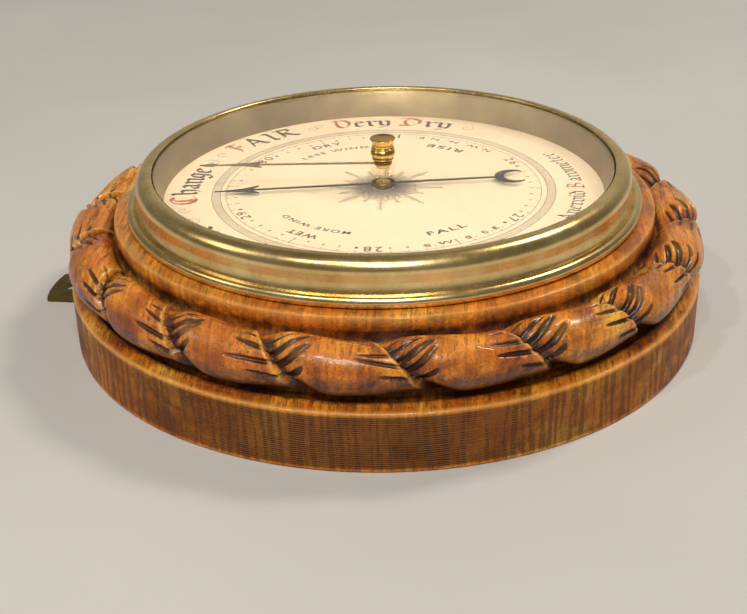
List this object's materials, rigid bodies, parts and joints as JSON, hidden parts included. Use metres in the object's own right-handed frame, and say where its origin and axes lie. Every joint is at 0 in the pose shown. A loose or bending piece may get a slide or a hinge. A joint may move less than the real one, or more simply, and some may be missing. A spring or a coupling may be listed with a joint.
{
  "type": "aneroid barometer",
  "caption": "Round wall barometer in a turned oak case with a carved rope border, brass bezel, bevelled glass, printed dial, indicating hand and set hand.",
  "frame": {"origin": "centre of the opening in the back, in the plane of the case's flat back face", "axes": "+Z out of the dial, away from the wall; +Y up the wall, towards the hanging plate and the top of the dial; +X to the right of somebody reading the dial"},
  "size_m": [0.302, 0.3228, 0.0862],
  "materials": {
    "oak": "polished, stained carved oak",
    "hanger_brass": "dull, tarnished sheet",
    "screw_brass": "turned, slotted",
    "drum_brass": "dull lacquered sheet",
    "bezel_brass": "polished, with speckled tarnish",
    "knob_brass": "turned and polished",
    "set_hand_brass": "aged lacquer",
    "washer": "thin oiled leather",
    "glass": "clear, flat, bevelled edge",
    "dial_card": "printed ivory card",
    "movement_brass": "brushed",
    "capsule_metal": "nickel-silver sheet, spun rings",
    "steel": "bright turned steel",
    "spring_steel": "tempered spring steel",
    "blued_steel": "heat-blued, nearly black"
  },
  "bodies": {
    "case": {"oak_case": "oak", "hanging_plate": "hanger_brass", "hanging_plate_screws": "screw_brass", "drum_case": "drum_brass", "bezel_ring": "bezel_brass", "bezel_screws": "screw_brass", "glass": "glass", "glass_retaining_ring": "drum_brass", "dial_card": "dial_card", "dial_plate": "movement_brass", "base_plate": "movement_brass", "base_plate_screws": "steel", "vacuum_capsule": "capsule_metal", "capsule_nut": "steel", "bridge": "movement_brass", "bridge_screws": "steel", "main_spring": "spring_steel", "spring_screws": "steel", "shaft_posts": "movement_brass", "shaft_post_screws": "steel", "arbor_bar": "movement_brass", "arbor_posts": "movement_brass", "arbor_bar_screws": "steel", "top_cock": "movement_brass", "cock_screw": "steel", "hairspring": "spring_steel", "hairspring_stud": "steel"},
    "set_hand": {"set_knob": "knob_brass", "knob_washer": "washer", "set_hand_washer": "washer", "set_hand": "set_hand_brass", "set_hand_nut": "knob_brass"},
    "pointer": {"pointer_arbor": "steel", "hairspring_collet": "movement_brass", "indicating_hand": "blued_steel", "hand_collet": "movement_brass"},
    "lever": {"main_lever": "movement_brass", "lever_screws": "steel", "capsule_post": "steel", "capsule_pin": "steel"},
    "link": {"connecting_link": "steel"},
    "rocker": {"rocking_shaft": "steel"},
    "chain": {"chain": "steel"},
    "adjuster": {"adjusting_screw": "screw_brass"}
  },
  "joints": [
    {"name": "pointer_turn", "type": "hinge", "parent": "case", "child": "pointer", "pos_m": [0, 0, 0.06125], "axis": [0, 0, 1], "range_deg": [-99, 81], "deforming": ["hairspring"]},
    {"name": "rocker_turn", "type": "hinge", "parent": "case", "child": "rocker", "pos_m": [0, 0.044, 0.03525], "axis": [1, 0, 0], "range_deg": [-19, 16]},
    {"name": "lever_lift", "type": "hinge", "parent": "case", "child": "lever", "pos_m": [0, -0.034, 0.03695], "axis": [1, 0, 0], "range_deg": [-1, 0.8], "deforming": ["main_spring", "vacuum_capsule"]},
    {"name": "link_lift", "type": "slide", "parent": "case", "child": "link", "axis": [0, 0, 1], "range_m": [-0.0014, 0.0012]},
    {"name": "chain_pull", "type": "slide", "parent": "case", "child": "chain", "axis": [0, 1, 0], "range_m": [-0.0038, 0.0046]},
    {"name": "set_hand_turn", "type": "hinge", "parent": "case", "child": "set_hand", "pos_m": [0, 0, 0.076], "axis": [0, 0, 1], "continuous": true},
    {"name": "adjuster_turn", "type": "hinge", "parent": "case", "child": "adjuster", "pos_m": [0, -0.039, 0.01125], "axis": [0, 0, 1], "range_deg": [-360, 360]}
  ],
  "couplings": [
    {"joint": "rocker_turn", "follows": "pointer_turn", "ratio": 0.18571},
    {"joint": "lever_lift", "follows": "pointer_turn", "ratio": 0.009059},
    {"joint": "link_lift", "follows": "pointer_turn", "m_per_rad": 0.00074286},
    {"joint": "chain_pull", "follows": "pointer_turn", "m_per_rad": -0.0026}
  ]
}
